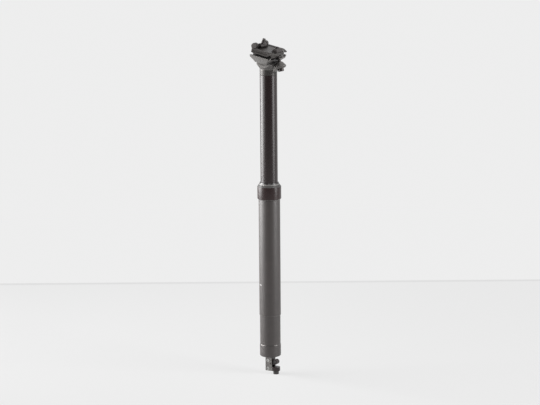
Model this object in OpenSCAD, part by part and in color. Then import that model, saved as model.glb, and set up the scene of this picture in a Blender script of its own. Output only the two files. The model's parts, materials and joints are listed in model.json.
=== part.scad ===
// Dropper seatpost: telescoping tubes, lockable gas cartridge, two-bolt saddle clamp and cable actuator.
// Millimetres. Origin on the post axis at the underside of the collar, Z up, X forward, Y left.

/* [Lower tube] */
// Outside diameter that the frame clamps
post_d = 31.6; // [30:0.1:35]
// Wall of the lower tube
lower_wall = 1.9; // [1.6:0.05:2.4]
// Distance that the post drops
travel = 150; // [110:5:180]
// Length of upper tube inside the lower tube below the collar
overlap = 58; // [54:1:80]
// Length of the relieved lower end
relief_len = 45; // [20:1:60]
// Radial step of the relieved lower end
relief_step = 0.65; // [0.3:0.05:0.7]
// Chamfer at the relief step and the tube ends
tube_chamfer = 0.6; // [0.3:0.1:0.9]
// Radial step of the threaded neck under the collar
neck_step = 0.7; // [0.5:0.05:0.8]
// Length of the threaded neck
thread_len = 12; // [10:0.5:14]
// Depth of the keyways in the lower tube
keyway_depth = 0.45; // [0.35:0.05:0.5]

/* [Collar] */
// Radial wall of the collar over the thread
collar_wall = 2.45; // [2:0.05:3]
// Height of the collar to its shoulder
collar_len = 20; // [18.5:0.5:24]
// Chamfer of the lower collar edge
collar_chamfer = 1.1; // [0.6:0.1:1.5]
// Height of the sloped shoulder
shoulder_len = 1.8; // [1:0.1:2.4]
// Radial width of the sloped shoulder
shoulder_in = 1.5; // [1:0.1:2]
// Height of the wiper seal above the shoulder
wiper_rise = 3.4; // [2.5:0.1:4.5]
// Radial thickness of the wiper seal rim
wiper_wall = 2.35; // [1.8:0.05:2.6]
// Depth of the wiper seal inside the collar
wiper_depth = 3; // [2:0.2:4]
// Section of the collar O-ring
collar_ring_w = 1.4; // [1:0.1:1.8]

/* [Bushings and keys] */
// Radial wall of the bushings
bush_wall = 1.13; // [1:0.01:1.3]
// Length of the lower bushing
lower_bush_len = 11; // [9:0.5:13]
// Depth of the bushing seat in the upper tube
bush_seat = 0.3; // [0.2:0.05:0.4]
// Bare tube below the lower bushing
end_margin = 1.5; // [1:0.1:2.5]
// Number of guide keys
key_count = 3; // [2:1:4]
// Width of a guide key
key_w = 4; // [3:0.2:5]
// Length of a guide key
key_len = 18; // [14:1:20]
// Depth of the key pockets in the upper tube
key_pocket = 0.8; // [0.6:0.05:1]
// Height of the top-out ring
top_out_len = 5; // [4:0.5:7]

/* [Upper tube] */
// Wall of the upper tube
upper_wall = 1.8; // [1.5:0.1:2.2]
// Tube left showing when the post is down
spare_len = 8.6; // [6:0.2:14]

/* [Cartridge] */
// Wall of the cartridge cylinder
cyl_wall = 1.2; // [1:0.1:1.6]
// Diameter of the piston rod
rod_d = 8; // [7:0.2:9]
// Diameter of the threaded stud below the rod
stud_d = 6; // [5:0.2:6.4]
// Diameter of the release pin
pin_d = 2.4; // [2:0.1:2.8]
// Height of the cartridge retainer
retainer_len = 6; // [4:0.5:8]
// Height of the rod gland
gland_len = 12; // [8:0.5:13]
// Height of the rod seal
rod_seal_len = 4; // [3:0.5:5]
// Gap between the rod seal and the piston when the post is up
top_gap = 4; // [3:0.5:6]
// Height of the piston
piston_len = 14; // [12:0.5:16]
// Height of the piston seal
piston_seal_len = 3; // [2:0.2:4]
// Depth of the piston seal groove
seal_depth = 1.4; // [1:0.1:2]
// Height of the valve poppet
poppet_len = 4; // [3:0.5:5]
// Diameter of the valve poppet
poppet_d = 6.4; // [5:0.2:8]
// Height of the floating piston
float_len = 10; // [8:0.5:12]
// Height of the cartridge end plug
plug_len = 12; // [9:0.5:14]

/* [Bottom cap] */
// Radial step of the cap below the post diameter
cap_step = 0.25; // [0.1:0.05:0.4]
// Height of the cap
cap_len = 17.5; // [14:0.5:20]
// Height of the threaded cap spigot
cap_spigot = 8; // [6:0.5:10]
// Chamfer of the lower cap edge
cap_chamfer = 1.2; // [0.6:0.1:1.8]
// Thickness of the cap floor
cap_floor = 5.5; // [4:0.5:7]
// Wall of the cap cup
cap_wall = 2.9; // [2.2:0.1:3.5]
// Thickness of the rod nut
rod_nut_len = 5; // [4:0.5:6]
// Width of the rod nut across its flats
rod_nut_af = 13; // [12:0.5:15]

/* [Actuator] */
// Half width of the actuator bracket
bracket_half = 6; // [5.4:0.1:6.6]
// Thickness of each bracket cheek
cheek = 2; // [1.6:0.1:2.2]
// Rear end of the bracket
bracket_back = 5.2; // [4.8:0.1:6]
// Front end of the bracket block
bracket_front = 5; // [4.8:0.1:5.2]
// Height of the block on the rod
block_len = 8.5; // [8:0.1:9.5]
// Thickness of the block floor below the rod stud
block_floor = 3.5; // [3.3:0.1:4]
// Height of the lever space
lever_space = 7.8; // [7.4:0.1:8.6]
// Height of the bracket foot
foot_len = 6; // [5.4:0.1:7]
// Thickness of the rear wall
back_wall = 2.6; // [2:0.1:3]
// Distance from the post axis to the lever pivot
pivot_x = 3.2; // [2.8:0.1:3.5]
// Depth of the lever pivot below the block
pivot_drop = 2.8; // [2.6:0.1:3.1]
// Length of release pin below the block
pin_out = 1.3; // [1.2:0.1:1.4]
// Diameter of the lever pin
lever_pin_d = 2.5; // [2:0.1:2.8]
// Distance from the post axis to the cable
cable_x = 9.4; // [9.2:0.1:10]
// Thickness of the lever web beside its pad
lever_web = 1.4; // [1.2:0.1:1.6]
// Radius of the lever nose
nose_r = 3.9; // [3.5:0.1:4]
// Depth of the nose centre below the block
nose_drop = 0.4; // [0.2:0.1:0.8]
// Diameter of the cable head socket
cable_head_d = 4.5; // [4:0.1:4.6]
// Width of the cable slot
cable_slot = 1.8; // [1.4:0.1:2.2]
// Angle through which the lever is pressed
lever_turn = 20; // [12:1:22]
// Diameter of the cable stop flange
stop_d = 8.4; // [8:0.1:9]
// Height of the cable stop below the foot
stop_len = 5; // [4:0.1:7]
// Diameter of the housing socket
housing_d = 5.2; // [4.6:0.1:5.4]
// Wall of the cable stop inside the foot
stop_wall = 0.6; // [0.4:0.1:1]
// Depth of the housing socket
housing_depth = 8; // [6:0.5:9]
// Diameter of the side plate screws
screw_d = 2.5; // [2:0.1:2.8]
// Diameter of the side plate screw heads
screw_head_d = 4.5; // [4:0.1:5]
// Height of the upper screw above the lever space
screw_up = 1.9; // [1.6:0.1:2.4]
// Depth of the lower screw below the lever space
screw_down = 2.5; // [2.3:0.1:3]
// Distance of the side plate screws behind the post axis
screw_back = 1.2; // [1:0.1:1.4]
// Depth of the screws in the bracket
screw_in = 2; // [1.6:0.1:2.2]

/* [Head] */
// Height from the upper tube to the bottom of the cradle seat
neck_len = 15.5; // [14:0.5:18]
// Height of straight neck above the upper tube
neck_plain = 9.5; // [8:0.5:10.5]
// Outward slope of the head flare
flare_rise = 13; // [11:0.5:15]
// Half width of the head block
head_half = 13.5; // [13:0.1:14.5]
// Reach of the flare beyond the head block
flare_reach = 8.5; // [7:0.5:10]
// Half length of the head block
head_reach = 12.6; // [12:0.1:13.4]
// Depth of the front edge of the head block below the seat bottom
front_low = 0.8; // [0.4:0.1:1.4]
// Height of the head block ends above the seat bottom
head_wall = 7.5; // [5:0.5:8]
// Length of the bonded spigot
spigot_len = 14; // [12:0.5:18]
// Wall of the spigot
spigot_wall = 3; // [2:0.1:4]
// Half width of the bolt lugs
lug_half = 7.4; // [7:0.1:7.8]
// Height of the front bolt lug
front_lug_len = 7.5; // [7:0.1:8.5]
// Radius of the front lug at its widest
front_lug_r = 9.2; // [8.6:0.1:9.6]
// Height of the widest part of the front lug above its bolt seat
lug_waist = 2.6; // [2:0.1:3.4]
// Taper of the front lug towards its top
lug_taper = 5; // [4.4:0.1:5.2]
// Taper of the front lug towards its underside
lug_under = 2.2; // [1.6:0.1:2.4]
// Height of the web behind the front lug above its bolt seat
web_up = 5.5; // [4.5:0.1:6]
// Fall of the underside of the web towards the neck
web_fall = 6; // [5:0.2:6.6]
// Height of the rear bolt lug
rear_lug_len = 4; // [3.5:0.1:4.5]
// Distance from the bolt seat to the lug
lug_lift = 1.5; // [1.2:0.1:1.8]
// Depth of the front bolt head inside the lug
lug_sink = 0.4; // [0.2:0.1:1]
// Forward distance of the front bolt seat
front_seat_x = 20.5; // [20:0.1:21]
// Depth of the front bolt seat below the tilt axis
front_seat_z = 19.4; // [19:0.1:20.4]
// Rearward distance of the rear bolt seat
rear_seat_x = 18.5; // [18:0.1:19]
// Depth of the rear bolt seat below the tilt axis
rear_seat_z = 7.5; // [7.2:0.1:8]

/* [Saddle clamp] */
// Diameter of the saddle rails
rail_d = 7; // [6.8:0.1:7.6]
// Distance between the saddle rails
rail_gap = 44; // [42:0.5:46]
// Nose-down rake of the clamp
rake = 11; // [8:1:14]
// Largest tilt each way from the rake
tilt = 8; // [4:1:9]
// Length of the rail grooves
clamp_len = 30; // [28:0.5:34]
// Radius of the cradle underside
cradle_r = 15; // [14.5:0.1:16]
// Wall around the rails
rail_wall = 2.5; // [2:0.1:3]
// Half length of the cradle underside
cradle_foot = 9; // [8:0.2:10]
// Depth of the cradle skirt edge
skirt_edge = 1; // [0.6:0.1:1.5]
// Distance from the clamp centre to the rear notch of the cradle
notch_u = 7.8; // [7:0.1:8.4]
// Depth of the cradle floor below the rail axes
cradle_drop = 4; // [3.5:0.1:5]
// Length of the upper clamp wings along the rails
wing_len = 28; // [26:0.5:29]
// Wall of the upper clamp wings around the rails
wing_wall = 4.7; // [4.2:0.1:5]
// Radius of the rear wing corners in plan
wing_round = 4; // [3:0.2:5]
// Radius of the front wing corners in plan
wing_front_round = 1; // [0.6:0.1:2]
// Length of the bevel on the front ends of the wings
wing_bevel_len = 5; // [4:0.1:6]
// Drop of the bevel on the front ends of the wings
wing_bevel_drop = 3.4; // [2.4:0.1:4]
// Reach of the front edge of the clamp past the wings
nose_out = 6.4; // [6:0.1:7]
// Half width of the front edge of the clamp where it reaches furthest
nose_half = 9; // [8:0.2:12]
// Bevel along the front edge of the clamp
nose_bevel = 2.4; // [1:0.1:2.8]
// Undercut of the front edge of the clamp
nose_under = 3; // [2:0.2:4]
// Depth of the clamp plate below the wing tops
plate_drop = 1.2; // [0.8:0.1:1.8]
// Height of the outer lip of the upper clamp above the rail axes
lip_up = 2.9; // [2.6:0.1:3.4]
// Fall of the outer lip of the upper clamp towards its front
lip_fall = 0.8; // [0.4:0.1:1.4]
// Depth of the outer lip of the cradle below the rail axes
lip_down = 0.8; // [0.6:0.1:1.6]
// Depth of the upper clamp floor below the rail axes
clamp_drop = 0.8; // [0.5:0.1:1.2]
// Diameter of the groove along each wing
groove_d = 1.8; // [1.2:0.1:2.2]
// Angle of the wing groove above the rail axis
groove_at = 42; // [38:1:50]

/* [Clamp bolts] */
// Diameter of the clamp bolts
bolt_d = 5.2; // [5:0.1:5.8]
// Distance of the front barrel nut from the clamp centre along the rails
front_nut_u = 14; // [13.6:0.1:14.4]
// Distance of the rear barrel nut from the clamp centre along the rails
rear_nut_u = 12.5; // [12.2:0.1:13]
// Height of the front barrel nut above the rail axes
front_nut_w = 8; // [7.8:0.1:8.4]
// Height of the rear barrel nut above the rail axes
rear_nut_w = 9.3; // [9:0.1:9.8]
// Diameter of the barrel nuts
nut_d = 8; // [7.8:0.1:8.4]
// Half length of the barrel nuts
nut_half = 8.5; // [8:0.1:9]
// Wall of the cheeks beside the rear nut
housing_wall = 1.2; // [1:0.1:1.6]
// Half width across the cheeks beside the rear nut
housing_half = 17.5; // [16.6:0.1:18.4]
// Added length of the cheeks behind the rear nut
housing_out = 3; // [3:0.1:3.6]
// Length of the cheeks ahead of the rear nut centre
housing_ahead = 1; // [1:0.1:2]
// Radius of the front edges of the cheeks
cheek_round = 4; // [2:0.1:4]
// Taper of the rear ends of the cheeks
housing_taper = 4; // [3:0.2:5]
// Gap between the ends of the barrel nuts and the clamp
nut_gap = 3.5; // [3:0.1:4]
// Height of the nut saddles above the clamp plate
saddle_up = 0.3; // [0.2:0.1:0.6]
// Radius of the half-round washers
washer_r = 4.5; // [4.2:0.1:4.8]
// Half length of the half-round washers
washer_half = 4.6; // [4.4:0.1:5]
// Diameter of the bolt heads
bolt_head_d = 8.6; // [8:0.1:9]
// Height of the bolt heads
bolt_head_len = 5; // [4:0.2:5.4]
// Width of the bolt sockets across their flats
socket_af = 4; // [3.5:0.1:4.5]
// Depth of the bolt sockets
socket_depth = 3; // [2:0.2:3.4]
// Front bolt beyond its nut centre
front_tip = 6.2; // [5:0.2:8]
// Rear bolt beyond its nut centre
rear_tip = 11; // [8:0.2:12]

/* [Fits] */
// Radial clearance of pieces that run on each other
run_clear = 0.05; // [0.03:0.01:0.08]
// Radial clearance of pieces pressed or screwed together
press_clear = 0.02; // [0.01:0.01:0.04]
// Clearance of the guide keys in the keyways
key_clear = 0.12; // [0.08:0.01:0.2]
// Clearance of the tilting clamp faces
tilt_clear = 0.12; // [0.08:0.01:0.2]
// Radial clearance of the bolts in the barrel nuts
thread_clear = 0.4; // [0.3:0.05:0.5]
// Radial clearance of the bolts in the lugs
bolt_clear = 0.8; // [0.7:0.05:1]
// Radial clearance of the bolts in the upper clamp
slot_clear = 0.5; // [0.4:0.05:0.7]
// Gap left at the ends of travel
stop_gap = 0.2; // [0.1:0.05:0.4]
// Radial gap around the cartridge and the rod nut
loose_gap = 0.3; // [0.2:0.05:0.5]
// Running gap between the lower bushing and the cap at full drop
bottom_gap = 3; // [2:0.5:6]
// Gap between the pistons at full drop
float_gap = 2; // [1:0.5:3]
// Clearance of the lever beside the cheeks
side_clear = 0.3; // [0.2:0.05:0.4]

/* [Hidden] */
$fn = 64;
eps = 0.02;
// Length by which a cut runs past the faces that it opens
over = 1;
far = 200;
post_r = post_d / 2;
bore_r = post_r - lower_wall;
neck_r = post_r - neck_step;
relief_r = post_r - relief_step;
upper_r = bore_r - press_clear - bush_wall - run_clear;
upper_in_r = upper_r - upper_wall;
collar_r = neck_r + press_clear + collar_wall;
shoulder_z = collar_len + shoulder_len;
wiper_r = upper_r + wiper_wall;
wiper_top = shoulder_z + wiper_rise;
wiper_low = shoulder_z - wiper_depth;
// Heights along the tubes
tube_end_z = -(overlap + travel + bottom_gap + cap_spigot);
grip_end_z = tube_end_z + relief_len;
upper_low_z = -overlap;
tube_top_z = wiper_top + spare_len + travel;
bush_low_z = upper_low_z + end_margin;
bush_high_z = bush_low_z + lower_bush_len;
key_low_z = bush_high_z + end_margin;
key_high_z = key_low_z + key_len;
top_out_z = key_high_z + top_out_len;
upper_bush_low = top_out_z + stop_gap;
upper_bush_high = thread_len;
key_out_r = bore_r + keyway_depth - key_clear;
key_in_r = upper_r - key_pocket;
keyway_low_z = key_low_z - travel - bottom_gap;
keyway_r = bore_r + keyway_depth;
// Cartridge
cyl_r = upper_in_r - loose_gap;
cyl_in_r = cyl_r - cyl_wall;
rod_r = rod_d / 2;
pin_r = pin_d / 2;
pin_hole_r = pin_r + loose_gap / 2;
retainer_z = upper_low_z + retainer_len;
gland_z = retainer_z + gland_len;
rod_seal_z = gland_z + rod_seal_len;
piston_low_z = rod_seal_z + top_gap;
piston_top_z = piston_low_z + piston_len;
rod_top_z = piston_top_z - seal_depth;
piston_seal_z = piston_low_z + (piston_len - piston_seal_len) / 2;
poppet_top_z = piston_top_z + poppet_len;
spigot_low_z = tube_top_z - spigot_len;
plug_low_z = spigot_low_z - plug_len;
float_ratio = pow(rod_r / cyl_in_r, 2);
valve_lift = pivot_x * lever_turn * PI / 180;
float_low_z = poppet_top_z + valve_lift + float_gap + travel * (1 - float_ratio);
float_top_z = float_low_z + float_len;
float_seal_z = float_low_z + (float_len - piston_seal_len) / 2;
// Bottom cap and actuator
cap_r = post_r - cap_step;
cap_low_z = tube_end_z - cap_len;
cap_floor_z = cap_low_z + cap_floor;
cup_r = cap_r - cap_wall;
spigot_top_z = tube_end_z + cap_spigot;
block_low_z = cap_low_z - block_len;
foot_top_z = block_low_z - lever_space;
foot_low_z = foot_top_z - foot_len;
stop_low_z = foot_low_z - stop_len;
stud_r = stud_d / 2;
stud_low_z = block_low_z + block_floor;
pin_low_z = block_low_z - pin_out;
pivot_z = block_low_z - pivot_drop;
nose_z = block_low_z - nose_drop;
lever_half = bracket_half - cheek - side_clear;
pad_r = pivot_drop - pin_out - run_clear;
pad_z = pin_low_z - run_clear - pad_r;
boss_r = pivot_drop - 2 * stop_gap;
stop_in_r = housing_d / 2 + stop_wall;
screw_high_z = block_low_z + screw_up;
screw_low_z = foot_top_z - screw_down;
screw_head_r = screw_head_d / 2;
// Head and clamp, bolt points in the X and Z of the post
tilt_z = tube_top_z + neck_len + cradle_r;
rail_r = rail_d / 2;
rail_y = rail_gap / 2;
seat_r = cradle_r + tilt_clear;
function turned(u, w) = [u * cos(rake) + w * sin(rake), tilt_z - u * sin(rake) + w * cos(rake)];
front_nut = turned(front_nut_u, front_nut_w);
rear_nut = turned(-rear_nut_u, rear_nut_w);
front_seat = [front_seat_x, tilt_z - front_seat_z];
rear_seat = [-rear_seat_x, tilt_z - rear_seat_z];
front_lean = atan2(front_nut[0] - front_seat[0], front_nut[1] - front_seat[1]);
rear_lean = atan2(rear_nut[0] - rear_seat[0], rear_nut[1] - rear_seat[1]);
front_reach = norm(front_nut - front_seat);
rear_reach = norm(rear_nut - rear_seat);
bolt_r = bolt_d / 2;
nut_r = nut_d / 2;
trough_r = nut_r + run_clear * 2;
rail_out_r = rail_r + rail_wall;
clamp_half = rail_y + rail_out_r;
wing_r = rail_r + wing_wall;
plate_top = wing_r - plate_drop;
housing_r = nut_r + housing_wall;
corner_steps = 5;
arch_steps = 6;

// Tube with its ends at two heights
module sleeve(out_r, in_r, low, high) {
    translate([0, 0, low])
        difference() {
            cylinder(r = out_r, h = high - low);
            translate([0, 0, -over])
                cylinder(r = in_r, h = high - low + 2 * over);
        }
}

// Rod with its ends at two heights
module rod(r, low, high) {
    translate([0, 0, low])
        cylinder(r = r, h = high - low);
}

// Round bar across the post, at a point in X and Z
module cross_bar(r, half, x, z) {
    translate([x, 0, z])
        rotate([90, 0, 0])
            cylinder(r = r, h = 2 * half, center = true);
}

// Box between two corners
module block(low, high) {
    translate(low)
        cube(high - low);
}

// Outline in X and Z drawn across the post
module plate_xz(points, low_y, high_y) {
    translate([0, high_y, 0])
        rotate([90, 0, 0])
            linear_extrude(height = high_y - low_y)
                polygon(points);
}

// Frame of the clamp: X along the rails, Z away from the post
module in_clamp() {
    translate([0, 0, tilt_z])
        rotate([0, rake, 0])
            children();
}

// Frame of a bolt: origin in its seat, Z towards its nut
module in_bolt(seat, lean) {
    translate([seat[0], 0, seat[1]])
        rotate([0, lean, 0])
            children();
}

module keyways(half_w, out_r, low, high) {
    for (i = [0 : key_count - 1])
        rotate([0, 0, i * 360 / key_count + 180])
            block([0, -half_w, low], [out_r, half_w, high]);
}

module lower_tube() {
    color("dimgray")
        difference() {
            rotate_extrude()
                polygon([[bore_r, tube_end_z], [relief_r, tube_end_z],
                    [relief_r, grip_end_z - tube_chamfer], [post_r, grip_end_z], [post_r, 0],
                    [neck_r, 0], [neck_r, thread_len - tube_chamfer],
                    [neck_r - tube_chamfer, thread_len], [bore_r, thread_len]]);
            keyways(key_w / 2 + key_clear, keyway_r, keyway_low_z, upper_bush_low);
        }
}

module seal_collar() {
    ring_low = thread_len + collar_ring_w;
    lip_r = upper_r + loose_gap;
    socket_r = neck_r + press_clear;
    color("dimgray")
        rotate_extrude()
            polygon([[socket_r, 0], [collar_r - collar_chamfer, 0], [collar_r, collar_chamfer],
                [collar_r, collar_len], [collar_r - shoulder_in, shoulder_z],
                [wiper_r + press_clear, shoulder_z], [wiper_r + press_clear, wiper_low],
                [lip_r, wiper_low], [lip_r, ring_low], [socket_r, ring_low]]);
}

module wiper_seal() {
    seal_in = upper_r + run_clear;
    color("black")
        rotate_extrude()
            polygon([[seal_in, wiper_low + press_clear], [wiper_r, wiper_low + press_clear],
                [wiper_r, wiper_top - tube_chamfer], [wiper_r - tube_chamfer * 2, wiper_top],
                [seal_in, wiper_top]]);
}

module collar_o_ring() {
    color("black")
        sleeve(neck_r, bore_r, thread_len + press_clear, thread_len + collar_ring_w - press_clear);
}

module upper_bushing() {
    color("ivory")
        sleeve(bore_r - press_clear, upper_r + run_clear, upper_bush_low, upper_bush_high);
}

module bottom_cap() {
    spigot_r = bore_r - press_clear;
    color("dimgray")
        rotate_extrude()
            polygon([[rod_r + press_clear, cap_low_z], [cap_r - cap_chamfer, cap_low_z],
                [cap_r, cap_low_z + cap_chamfer], [cap_r, tube_end_z - tube_chamfer],
                [cap_r - tube_chamfer, tube_end_z], [spigot_r, tube_end_z],
                [spigot_r, spigot_top_z], [cup_r, spigot_top_z], [cup_r, cap_floor_z],
                [rod_r + press_clear, cap_floor_z]]);
}

module rod_nut() {
    color("silver")
        difference() {
            translate([0, 0, cap_floor_z])
                cylinder(d = rod_nut_af / cos(30), h = rod_nut_len, $fn = 6);
            rod(rod_r + press_clear, cap_floor_z - over, cap_floor_z + rod_nut_len + over);
        }
}

module piston_rod() {
    color("silver")
        difference() {
            union() {
                rod(rod_r, cap_low_z, rod_top_z);
                rod(stud_r, stud_low_z, cap_low_z + eps);
            }
            rod(pin_hole_r, stud_low_z - over, rod_top_z + over);
        }
}

module piston() {
    out_r = cyl_in_r - run_clear;
    color("silver")
        difference() {
            rod(out_r, piston_low_z, piston_top_z);
            rod(rod_r + press_clear, piston_low_z - over, rod_top_z);
            rod(pin_hole_r, piston_low_z, piston_top_z + over);
            sleeve(cyl_r, out_r - seal_depth, piston_seal_z, piston_seal_z + piston_seal_len);
        }
}

module piston_seal() {
    color("black")
        sleeve(cyl_in_r - run_clear, cyl_in_r - run_clear - seal_depth + press_clear,
            piston_seal_z + press_clear, piston_seal_z + piston_seal_len - press_clear);
}

module actuator_bracket() {
    color("gray")
        difference() {
            union() {
                block([-bracket_back, -bracket_half + cheek, block_low_z],
                    [bracket_front, bracket_half, cap_low_z]);
                block([-bracket_back, bracket_half - cheek, foot_low_z],
                    [bracket_front, bracket_half, block_low_z + eps]);
                block([-bracket_back, -bracket_half + cheek, foot_low_z],
                    [back_wall - bracket_back, bracket_half, block_low_z + eps]);
                block([-bracket_back, -bracket_half + cheek, foot_low_z],
                    [cable_x, bracket_half, foot_top_z]);
                intersection() {
                    translate([cable_x, 0, foot_low_z])
                        cylinder(r = bracket_half, h = foot_len);
                    block([0, -bracket_half + cheek, foot_low_z], [far, far, foot_top_z]);
                }
            }
            rod(stud_r + press_clear, stud_low_z - press_clear, cap_low_z + over);
            rod(pin_hole_r, block_low_z - over, cap_low_z);
            cross_bar(lever_pin_d / 2 + press_clear, far, pivot_x, pivot_z);
            translate([cable_x, 0, 0])
                rod(stop_in_r + press_clear, foot_low_z - over, foot_top_z + over);
            for (z = [screw_high_z, screw_low_z])
                translate([-screw_back, -bracket_half + cheek + screw_in, z])
                    rotate([90, 0, 0])
                        cylinder(d = screw_d + 2 * press_clear, h = screw_in + over);
        }
}

module side_plate() {
    color("gray")
        difference() {
            union() {
                block([-bracket_back, -bracket_half, foot_low_z],
                    [bracket_front, cheek - bracket_half, cap_low_z]);
                block([-bracket_back, -bracket_half, foot_low_z],
                    [cable_x, cheek - bracket_half, foot_top_z]);
                intersection() {
                    translate([cable_x, 0, foot_low_z])
                        cylinder(r = bracket_half, h = foot_len);
                    block([0, -far, foot_low_z], [far, cheek - bracket_half, foot_top_z]);
                }
            }
            cross_bar(lever_pin_d / 2 + press_clear, far, pivot_x, pivot_z);
            plate_screw_holes(press_clear);
        }
}

module plate_screw_holes(gap) {
    for (z = [screw_high_z, screw_low_z])
        translate([-screw_back, -bracket_half, z])
            rotate([-90, 0, 0]) {
                translate([0, 0, -over])
                    cylinder(d = screw_d + 2 * gap, h = cheek + 2 * over);
                translate([0, 0, -eps])
                    cylinder(r = screw_head_r + gap, h = cheek / 2 + eps);
            }
}

module plate_screws() {
    color("white")
        for (z = [screw_high_z, screw_low_z])
            translate([-screw_back, -bracket_half, z])
                rotate([-90, 0, 0]) {
                    cylinder(r = screw_head_r, h = cheek / 2 - press_clear);
                    cylinder(d = screw_d, h = cheek + screw_in - press_clear);
                }
}

module lever_pin() {
    color("dimgray")
        cross_bar(lever_pin_d / 2, bracket_half, pivot_x, pivot_z);
}

module cable_stop() {
    color("gray")
        translate([cable_x, 0, 0])
            difference() {
                union() {
                    rod(stop_d / 2, stop_low_z, foot_low_z);
                    rod(stop_in_r, foot_low_z - eps, foot_top_z);
                }
                rod(housing_d / 2, stop_low_z - over, stop_low_z + housing_depth);
                rod(cable_slot / 2, stop_low_z, foot_top_z + over);
            }
}

module upper_tube() {
    color("black")
        difference() {
            rotate_extrude()
                polygon([[upper_in_r, upper_low_z], [upper_r, upper_low_z], [upper_r, bush_low_z],
                    [upper_r - bush_seat, bush_low_z], [upper_r - bush_seat, bush_high_z],
                    [upper_r, bush_high_z], [upper_r, tube_top_z], [upper_in_r, tube_top_z]]);
            difference() {
                keyways(key_w / 2 + press_clear, far, key_low_z - press_clear, key_high_z + press_clear);
                rod(key_in_r, key_low_z - over, key_high_z + over);
            }
        }
}

module lower_bushing() {
    color("ivory")
        sleeve(bore_r - run_clear, upper_r - bush_seat + press_clear, bush_low_z + press_clear,
            bush_high_z - press_clear);
}

module guide_keys() {
    color("gold")
        difference() {
            keyways(key_w / 2, key_out_r, key_low_z, key_high_z);
            rod(key_in_r + press_clear, key_low_z - over, key_high_z + over);
        }
}

module top_out_ring() {
    color("black")
        sleeve(bore_r - run_clear * 2, upper_r + press_clear, key_high_z + press_clear, top_out_z);
}

module cartridge_cylinder() {
    color("silver")
        sleeve(cyl_r, cyl_in_r, retainer_z, spigot_low_z);
}

module cartridge_retainer() {
    color("gray")
        sleeve(upper_in_r - press_clear, rod_r + loose_gap * 2, upper_low_z, retainer_z);
}

module rod_gland() {
    color("gray")
        sleeve(cyl_in_r - press_clear, rod_r + run_clear, retainer_z, gland_z);
}

module rod_seal() {
    color("black")
        sleeve(cyl_in_r - press_clear, rod_r + run_clear, gland_z, rod_seal_z);
}

module cartridge_plug() {
    color("gray")
        rod(cyl_in_r - press_clear, plug_low_z, spigot_low_z);
}

module floating_piston() {
    out_r = cyl_in_r - run_clear;
    color("gray")
        difference() {
            rod(out_r, float_low_z, float_top_z);
            sleeve(cyl_r, out_r - seal_depth, float_seal_z, float_seal_z + piston_seal_len);
        }
}

module floating_seal() {
    color("black")
        sleeve(cyl_in_r - run_clear, cyl_in_r - run_clear - seal_depth + press_clear,
            float_seal_z + press_clear, float_seal_z + piston_seal_len - press_clear);
}

module release_pin() {
    color("silver")
        rod(pin_r, pin_low_z, piston_top_z);
}

module valve_poppet() {
    color("gold")
        rod(poppet_d / 2, piston_top_z, poppet_top_z);
}

module release_lever() {
    color("black")
        difference() {
            union() {
                cross_bar(pad_r, lever_half, 0, pad_z);
                cross_bar(boss_r, lever_half, pivot_x, pivot_z);
                cross_bar(nose_r, lever_half, cable_x, nose_z);
                plate_xz([[0, pad_z - lever_web], [pivot_x, pivot_z - boss_r + run_clear],
                    [cable_x, nose_z - nose_r + run_clear], [cable_x, nose_z + lever_web],
                    [pivot_x, pivot_z + lever_web], [0, pad_z + lever_web]], -lever_half, lever_half);
            }
            cross_bar(lever_pin_d / 2 + run_clear, far, pivot_x, pivot_z);
            cross_bar(cable_head_d / 2, far, cable_x, nose_z);
            block([cable_x - cable_slot / 2, -cable_slot / 2, nose_z - 2 * nose_r],
                [cable_x + cable_slot / 2, cable_slot / 2, nose_z]);
        }
}

module bolt_lug(seat, lean, low, high, inward) {
    in_bolt(seat, lean)
        translate([0, 0, low]) {
            cylinder(r = lug_half, h = high - low);
            block([min(0, inward), -lug_half, 0], [max(0, inward), lug_half, high - low]);
        }
}

// Front lug, widest at the middle of its height
module front_lug() {
    top = lug_lift + front_lug_len;
    side = front_lug_r - lug_taper;
    web_half = front_lug_r - lug_under;
    in_bolt(front_seat, front_lean) {
        translate([0, 0, -lug_sink])
            cylinder(r1 = web_half, r2 = front_lug_r, h = lug_waist + lug_sink);
        translate([0, 0, lug_waist])
            cylinder(r1 = front_lug_r, r2 = side, h = top - lug_waist);
        plate_xz([[0, -lug_sink], [0, web_up], [-front_seat_x, web_up], [-front_seat_x, -lug_sink],
            [upper_r / 2 - front_seat_x, -lug_sink - web_fall]], -web_half, web_half);
    }
}

module bolt_lug_cuts(seat, lean) {
    in_bolt(seat, lean) {
        cylinder(r = bolt_r + bolt_clear, h = lug_lift + max(front_lug_len, rear_lug_len) + over);
        rotate([90, 0, 0])
            cylinder(r = washer_r + tilt_clear, h = 2 * (washer_half + tilt_clear), center = true);
        translate([0, 0, -far])
            cylinder(r = bolt_head_d / 2 + bolt_clear, h = far + lug_lift);
    }
}

// Space behind the notch of the cradle at every tilt
module notch_space() {
    intersection_for(swing = [-tilt, 0, tilt])
        translate([0, 0, tilt_z])
            rotate([0, rake + swing, 0])
                block([-far, -lug_half - eps, -far], [-notch_u - 2 * tilt_clear, lug_half + eps, far]);
}

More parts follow.
